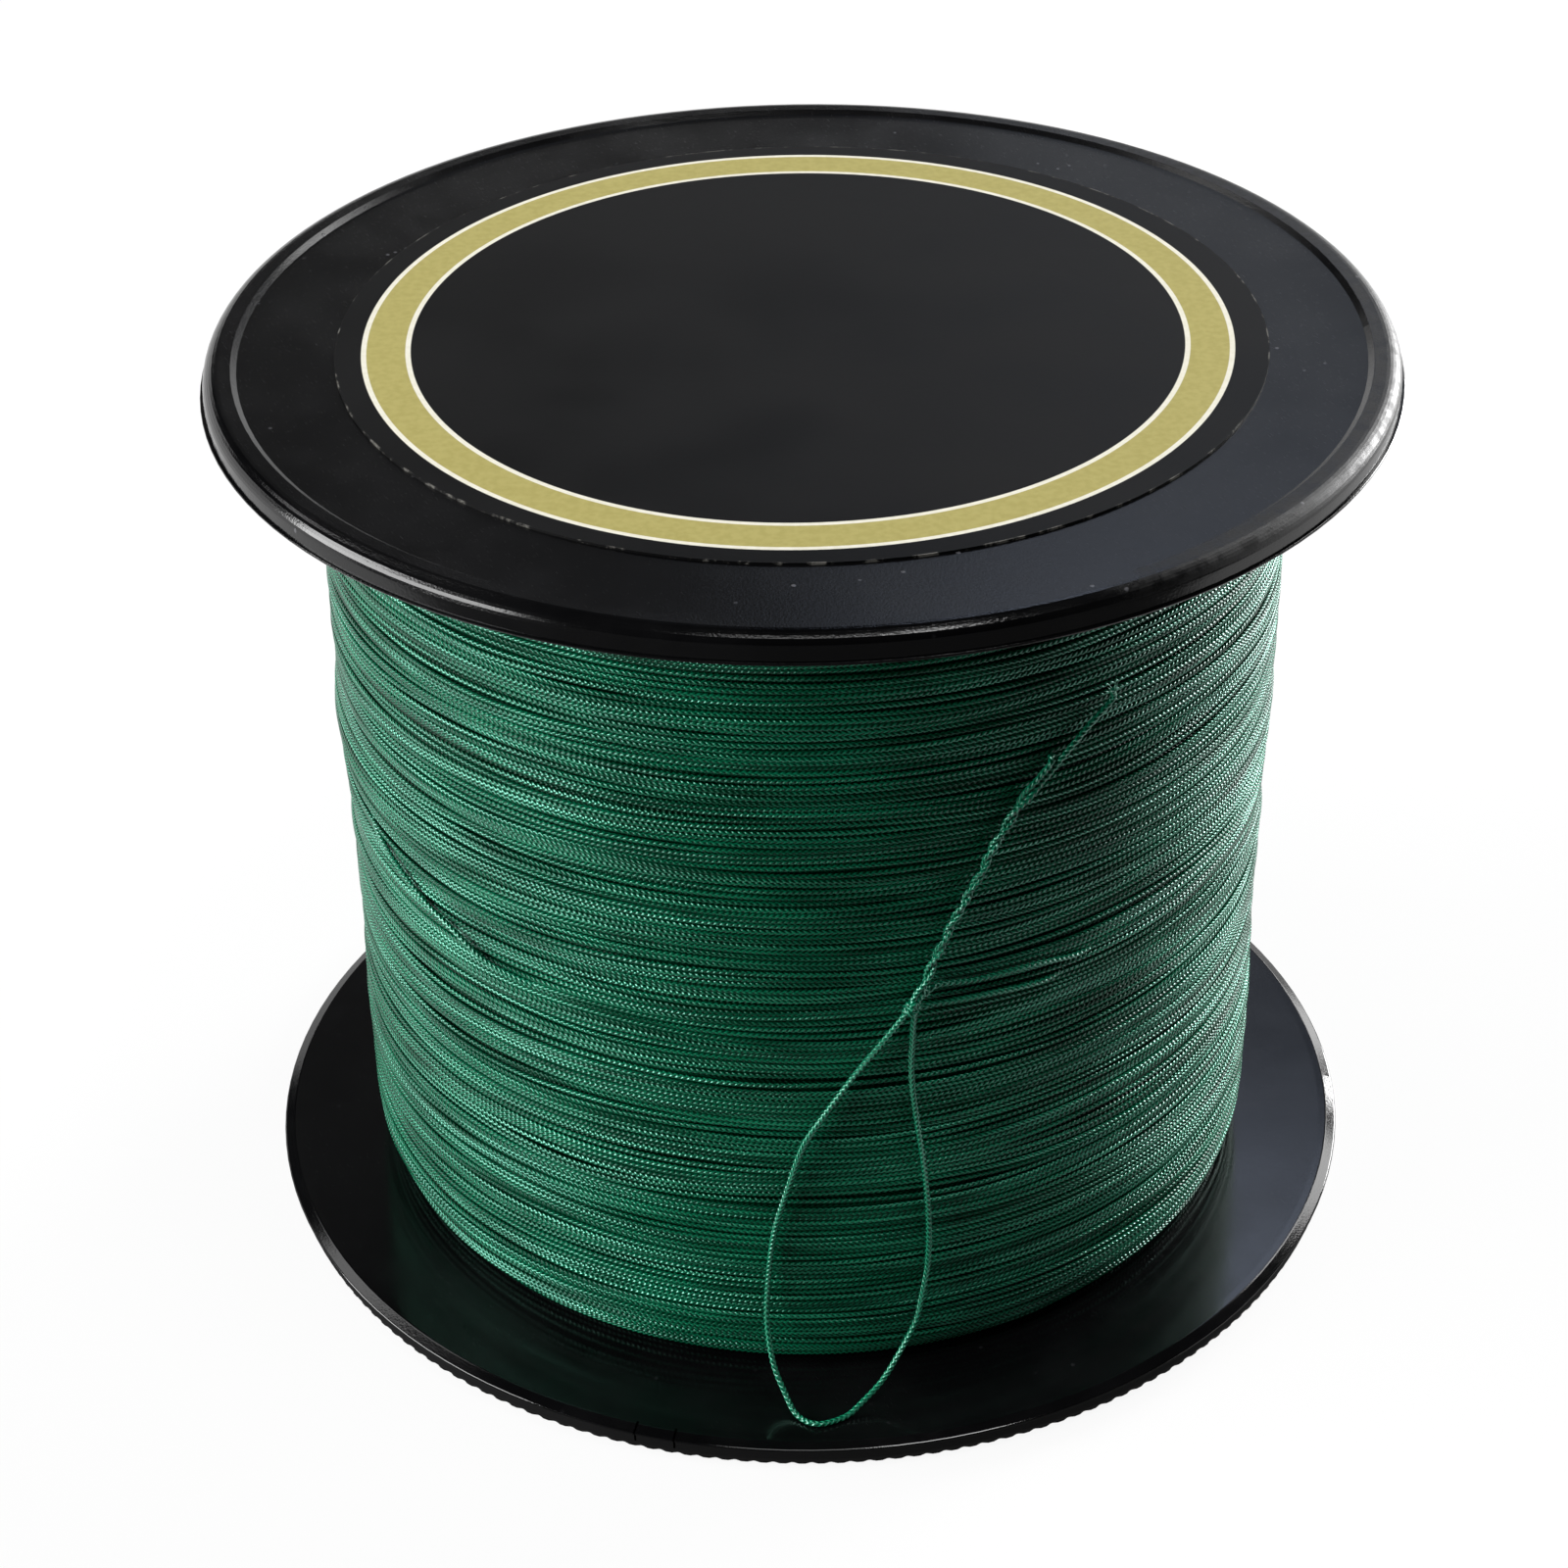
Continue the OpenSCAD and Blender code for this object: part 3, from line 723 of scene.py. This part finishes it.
def plastic_material(name, rough, grain, specks, level=0.5, wall=0.0, rubbed=0.0):
    """Black moulded plastic: a fine grain, flow marks, scratches, dull patches and dust.

    wall is the roughness of the lower flange's edge below its lip, and rubbed that of the
    upper rim's worn right side. At 0 they leave the plastic as it is.
    """
    s = Shader(name)
    place = s.place()
    fine = s.noise(place, scale=5200.0, detail=2.0)
    flow = s.noise(place, scale=26.0, detail=2.0)
    patches = s.noise(place, scale=85.0, detail=4.0, rough=0.6)
    dust = dust_specks(s, place, specks)
    stretched = s.node("ShaderNodeMapping", {"vector_type": "TEXTURE"}, Vector=place,
                       Rotation=(0.0, 0.0, 0.5), Scale=(0.05, 1.0, 1.0)).outputs[0]
    scratches = s.spread(s.noise(stretched, scale=900.0, detail=2.0), 0.66, 0.74)

    black, dull_black = (0.0022, 0.0022, 0.0025), (0.0042, 0.0042, 0.0046)
    colour = s.mix(s.spread(patches, 0.35, 0.7), black, dull_black)
    colour = s.mix(dust, colour, (0.10, 0.10, 0.11))
    roughness = s.spread(patches, 0.3, 0.75, rough - 0.03, rough + 0.05)
    roughness = s.plus(roughness, s.times(scratches, 0.12))
    roughness = rim_roughness(s, place, roughness, wall, rubbed)
    height = s.plus(s.times(fine, grain), s.times(flow, 6.0))
    height = s.plus(height, s.times(dust, 0.8))
    return s.finish(Base_Color=colour, Roughness=roughness, Specular_IOR_Level=level,
                    Normal=s.bump(height, 0.012 * MM))


def label_material():
    """Printed film: black, with a dull gold ring between pale outlines, and a worn edge."""
    s = Shader("label_film")
    place = s.place()
    x, y, _ = s.parts(place)
    print_r = s.radius(s.maths("SUBTRACT", x, RING_SHIFT), s.maths("DIVIDE", y, RING_STRETCH))

    def inside(low, high):
        return s.times(s.spread(print_r, low - PRINT_SOFT, low + PRINT_SOFT),
                       s.fall(print_r, high + PRINT_SOFT, high - PRINT_SOFT))

    grain, broad = s.noise(place, scale=1500.0), s.noise(place, scale=60.0)
    black = s.mix(s.spread(broad, 0.3, 0.7), (0.004, 0.004, 0.0042), (0.007, 0.007, 0.0072))
    gold = s.mix(s.spread(grain, 0.3, 0.7), (0.43, 0.375, 0.125), (0.48, 0.425, 0.15))
    cream = s.mix(s.spread(grain, 0.3, 0.7), (0.85, 0.82, 0.68), (0.91, 0.88, 0.76))
    colour = s.mix(inside(RING_IN, RING_OUT), black, cream)
    colour = s.mix(inside(RING_IN + RING_EDGE, RING_OUT - RING_EDGE), colour, gold)
    worn = s.times(s.spread(s.radius(x, y), *LABEL_WORN_R),
                   s.spread(s.noise(place, scale=420.0, detail=4.0, rough=0.7), 0.5, 0.6))
    colour = s.mix(worn, colour, (0.16, 0.155, 0.14))
    return s.finish(Base_Color=colour, Roughness=s.spread(broad, 0.3, 0.7, 0.36, 0.48),
                    Specular_IOR_Level=0.10, Normal=s.bump(grain, 0.004 * MM))


def tape_material():
    """Matt paper tape with fine crepe lines."""
    s = Shader("crepe_tape")
    lines = s.node("ShaderNodeTexWave", {"bands_direction": "Z"}, Vector=s.place(), Scale=400.0,
                   Distortion=6.0, Detail=2.0).outputs["Fac"]
    colour = s.mix(lines, (0.52, 0.45, 0.30), (0.66, 0.60, 0.44))
    return s.finish(Base_Color=colour, Roughness=0.75, Normal=s.bump(lines, 0.05 * MM))


def floor_material():
    """Pale, and white of itself where it is seen or mirrored, so that the shadow stays faint.

    Round the spool's foot and nearer than the picture's lower edge, where little light would reach
    it, it is painted in shade for all but camera rays, so what it throws back and what is mirrored
    there are dim.
    """
    s = Shader("floor_paper")
    path = s.node("ShaderNodeLightPath").outputs
    x, y, _ = s.parts(s.place())
    # Painted shade: the paper is dimmed towards the front and round the foot, for all but camera
    # rays
    painted_shade = s.maths("MAXIMUM", s.fall(y, *SHADE_FRONT_Y), s.fall(s.radius(x, y), *SHADE_FOOT_R))
    painted_shade = s.times(painted_shade, s.maths("SUBTRACT", 1.0, path["Is Camera Ray"]))
    s.finish(Base_Color=s.mix(painted_shade, PAPER, SHADED_PAPER), Roughness=0.9)
    seen = s.maths("MAXIMUM", path["Is Camera Ray"], path["Is Glossy Ray"])
    seen = s.maths("MAXIMUM", seen, path["Is Transmission Ray"])
    white = s.node("ShaderNodeEmission", Color=(1.0, 1.0, 1.0),
                   Strength=s.spread(painted_shade, 0.0, 1.0, PAPER_GLOW, SHADED_GLOW))
    both = s.node("ShaderNodeMixShader")
    s.put(both.inputs[0], s.times(seen, GLOW_SHARE))
    s.put(both.inputs[1], s.surface.outputs[0])
    s.put(both.inputs[2], white.outputs[0])
    s.put(s.tree.nodes["Material Output"].inputs["Surface"], both.outputs[0])
    return s.material


def paint(node, material):
    """Gives a CAD node its material."""
    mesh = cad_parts[node].data
    mesh.materials.clear()
    mesh.materials.append(material)


# ======== stage ========

def add_camera():
    yaw, pitch, roll = (math.radians(x) for x in (CAMERA_YAW, CAMERA_PITCH, CAMERA_ROLL))
    ahead = Vector((math.sin(yaw) * math.cos(pitch), math.cos(yaw) * math.cos(pitch),
                    -math.sin(pitch)))
    level = Vector((math.cos(yaw), -math.sin(yaw), 0))
    up = level.cross(ahead)
    right = math.cos(roll) * level + math.sin(roll) * up
    up = math.cos(roll) * up - math.sin(roll) * level
    turned = Matrix((right, up, -ahead)).transposed().to_4x4()
    data = bpy.data.cameras.new("camera")
    data.lens, data.sensor_width = CAMERA_LENS, CAMERA_SENSOR
    data.clip_start, data.clip_end = 0.01, 20
    camera = bpy.data.objects.new("camera", data)
    camera.matrix_world = Matrix.Translation(CAMERA_AT) @ turned
    bpy.context.scene.collection.objects.link(camera)
    bpy.context.scene.camera = camera


def add_lamp(name, angle, elevation, size, watts, colour):
    """A soft rectangular lamp that faces the middle of the spool."""
    data = bpy.data.lights.new(name, "AREA")
    data.shape, data.size, data.size_y = "RECTANGLE", *size
    data.energy, data.color = watts, colour
    lamp = bpy.data.objects.new(name, data)
    rise = math.radians(elevation)
    spot = Vector(LAMP_DISTANCE * at(angle, math.cos(rise), math.sin(rise)))
    lamp.location = Vector((0, 0, spool_top / 2)) + spot
    lamp.rotation_mode = "QUATERNION"
    lamp.rotation_quaternion = (-spot).to_track_quat("-Z", "Y")
    lamp.visible_camera = False
    bpy.context.scene.collection.objects.link(lamp)


def add_floor():
    """A round pale floor whose edge sweeps up into a low backdrop."""
    a = np.radians(np.linspace(-90, 0, SWEEP_POINTS))
    curve = np.stack([FLOOR_R + SWEEP_R * np.cos(a), SWEEP_R + SWEEP_R * np.sin(a)], -1)
    outline = np.vstack([[[0.0, 0.0]], curve, [[FLOOR_R + SWEEP_R, BACKDROP_TOP]]])
    n, segments = len(outline), FLOOR_SEGMENTS
    angle = 360 * np.arange(segments) / segments
    points = at(angle[:, None], outline[None, :, 0], outline[None, :, 1]).reshape(-1, 3)
    i, k = np.meshgrid(np.arange(segments), np.arange(n - 1), indexing="ij")
    ahead = (i + 1) % segments
    quads = np.stack([i * n + k, i * n + k + 1, ahead * n + k + 1, ahead * n + k], axis=-1)
    mesh = mesh_of("floor", points, quads.ravel(), np.arange(0, quads.size, 4), {})
    mesh.materials.append(floor_material())
    floor = bpy.data.objects.new("floor", mesh)
    bpy.context.scene.collection.objects.link(floor)


def add_world():
    world = bpy.data.worlds.new("room")
    world.use_nodes = True
    room = world.node_tree.nodes["Background"]
    room.inputs["Color"].default_value = ROOM_COLOUR
    room.inputs["Strength"].default_value = ROOM_STRENGTH
    bpy.context.scene.world = world


def add_stage():
    add_camera()
    add_floor()
    add_world()
    for lamp in LAMPS:
        add_lamp(*lamp)
    bpy.context.scene.view_settings.view_transform = "Standard"


# ======== the spool ========

def add_line():
    """The winding, and the free end with its knot and frayed tip."""
    rng = np.random.default_rng(SEED)
    wound = braid_material("braid_green", deep=(0.0, 0.028, 0.012), light=(0.0008, 0.20, 0.09),
                           gloss=(0.43, 1.0, 0.82), uneven=1.0)
    # The same braid made darker and duller for the under turns and the body: painted shade, for
    # line lying in the outer turns' shadow
    shaded_braid = braid_material("painted_shade_green", deep=(0.0, 0.01, 0.004), light=(0.0, 0.05, 0.022),
                            gloss=(0.1, 0.3, 0.22), uneven=1.0, ior=1.5)
    loose = braid_material("loose_green", deep=(0.0, 0.05, 0.022), light=(0.004, 0.26, 0.13),
                           gloss=(0.6, 1.0, 0.88), uneven=0.15)
    fibres = braid_material("loose_fibre", deep=(0.06, 0.30, 0.19), light=(0.25, 0.62, 0.48),
                            gloss=(0.6, 1.0, 0.85), uneven=0.0)
    line, path = free_line(loose)
    wraps = knot(loose)
    tuft = frayed_tip(fibres, rng, path[-1], unit(path[-1] - path[-8]))
    winding("outer_turns", rng, TURNS, RINGS, 0.0, 1, wound)
    winding("under_turns", rng, UNDER_TURNS, UNDER_RINGS, LAYER_DEPTH, -1, shaded_braid)
    winding_body(shaded_braid)
    strays(loose)


def paint_frame():
    """The materials of the CAD nodes that show as they are."""
    satin = plastic_material("satin_black", rough=0.2, grain=1.0, specks=1.0, level=0.4,
                             rubbed=0.46)
    glossy = plastic_material("gloss_black", rough=0.14, grain=0.4, specks=0.12, wall=0.5)
    plain = plastic_material("plain_black", rough=0.5, grain=1.2, specks=0.3)
    paint("upper_flange", satin)
    paint("lower_flange", glossy)
    paint("barrel", plain)
    paint("arbor_tube", plain)
    paint("start_tape", tape_material())
    paint("top_label", label_material())


add_line()
paint_frame()
add_stage()
